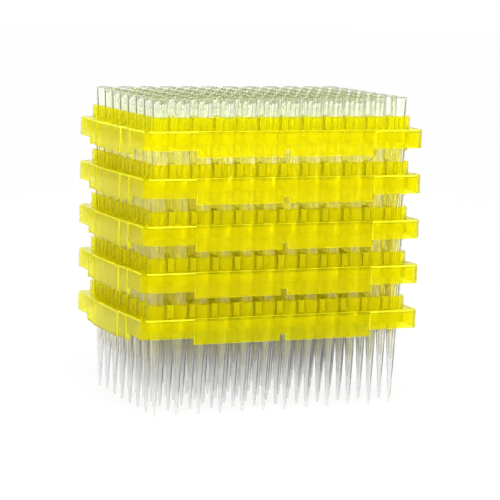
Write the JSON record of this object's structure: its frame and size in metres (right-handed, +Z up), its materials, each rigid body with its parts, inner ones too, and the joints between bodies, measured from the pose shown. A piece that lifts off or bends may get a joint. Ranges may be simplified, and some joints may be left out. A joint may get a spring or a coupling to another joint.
{
  "type": "nested stack of pipette tip racks",
  "caption": "Stack of shallow yellow moulded racks full of clear tapered pipette tips, each rack nested on the tips of the rack below.",
  "frame": {"origin": "centre of the stack's footprint, on the plane of the lowest tips' ends, on which the stack stands", "axes": "+Z up the stack and out of the tips' mouths, +X along the twelve columns from column 1 to column 12, +Y along the eight rows from row a at the front to row h at the back"},
  "size_m": [0.1178, 0.0778, 0.1208],
  "materials": {
    "rack_plastic": "translucent yellow injection-moulded polypropylene, smooth satin gloss",
    "tip_plastic": "natural clear polypropylene, milky and translucent, smooth"
  },
  "bodies": {
    "root": {"rack_1": "rack_plastic", "rack_1_tip_a1": "tip_plastic", "rack_1_tip_b1": "tip_plastic", "rack_1_tip_c1": "tip_plastic", "rack_1_tip_d1": "tip_plastic", "rack_1_tip_e1": "tip_plastic", "rack_1_tip_f1": "tip_plastic", "rack_1_tip_g1": "tip_plastic", "rack_1_tip_h1": "tip_plastic", "rack_2": "rack_plastic", "rack_2_tip_a1": "tip_plastic", "rack_2_tip_b1": "tip_plastic", "rack_2_tip_c1": "tip_plastic", "rack_2_tip_d1": "tip_plastic", "rack_2_tip_e1": "tip_plastic", "rack_2_tip_f1": "tip_plastic", "rack_2_tip_g1": "tip_plastic", "rack_2_tip_h1": "tip_plastic", "rack_3": "rack_plastic", "rack_3_tip_a1": "tip_plastic", "rack_3_tip_b1": "tip_plastic", "rack_3_tip_c1": "tip_plastic", "rack_3_tip_d1": "tip_plastic", "rack_3_tip_e1": "tip_plastic", "rack_3_tip_f1": "tip_plastic", "rack_3_tip_g1": "tip_plastic", "rack_3_tip_h1": "tip_plastic", "rack_4": "rack_plastic", "rack_4_tip_a1": "tip_plastic", "rack_4_tip_b1": "tip_plastic", "rack_4_tip_c1": "tip_plastic", "rack_4_tip_d1": "tip_plastic", "rack_4_tip_e1": "tip_plastic", "rack_4_tip_f1": "tip_plastic", "rack_4_tip_g1": "tip_plastic", "rack_4_tip_h1": "tip_plastic", "rack_5": "rack_plastic", "rack_5_tip_a1": "tip_plastic", "rack_5_tip_b1": "tip_plastic", "rack_5_tip_c1": "tip_plastic", "rack_5_tip_d1": "tip_plastic", "rack_5_tip_e1": "tip_plastic", "rack_5_tip_f1": "tip_plastic", "rack_5_tip_g1": "tip_plastic", "rack_5_tip_h1": "tip_plastic"}
  },
  "joints": []
}
